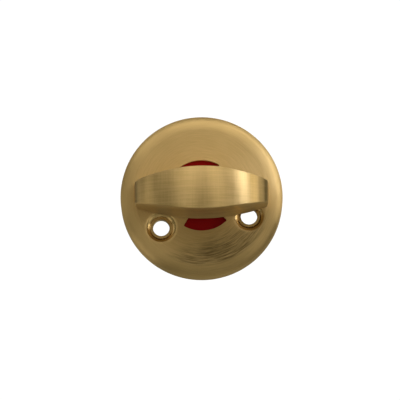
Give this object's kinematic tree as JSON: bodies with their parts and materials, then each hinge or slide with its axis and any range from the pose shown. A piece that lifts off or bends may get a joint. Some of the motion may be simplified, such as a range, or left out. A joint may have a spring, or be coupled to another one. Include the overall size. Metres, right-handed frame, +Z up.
{
  "type": "thumbturn knob",
  "caption": "Half-moon thumbturn with dished sides on a round face-fixed rose with crescent indicator windows, and a square spindle behind it for a privacy lock.",
  "frame": {"origin": "the turn axis at the rose's back face, which is the door's surface", "axes": "+Y along the turn axis into the door, -Y towards the user, +Z up, with the screw holes level below the axis, +X to the user's right"},
  "size_m": [0.05, 0.0708, 0.05],
  "materials": {
    "rose_brass": "satin, brushed in circles",
    "grip_brass": "satin, brushed along its length",
    "bush_plastic": "natural moulded",
    "indicator_white": "moulded, matt",
    "indicator_red": "matt red",
    "zinc_steel": "zinc plated",
    "pin_steel": "plain steel",
    "spring_steel": "blued spring steel",
    "base_plastic": "moulded, matt"
  },
  "bodies": {
    "rose": {"rose_cover": "rose_brass", "front_bush": "bush_plastic", "base_plate": "base_plastic", "stop_pins": "pin_steel", "disc_spring": "spring_steel"},
    "turn": {"thumbturn_grip": "grip_brass", "indicator_disc": "indicator_white", "indicator_red_sectors": "indicator_red", "stop_cam": "zinc_steel", "thrust_washer": "zinc_steel", "retaining_ring": "spring_steel", "spindle": "zinc_steel", "spindle_pin": "pin_steel"}
  },
  "joints": [
    {"name": "grip_turn", "type": "hinge", "parent": "rose", "child": "turn", "pos_m": [0, 0, 0], "axis": [0, 1, 0], "range_deg": [-11, 87]}
  ]
}
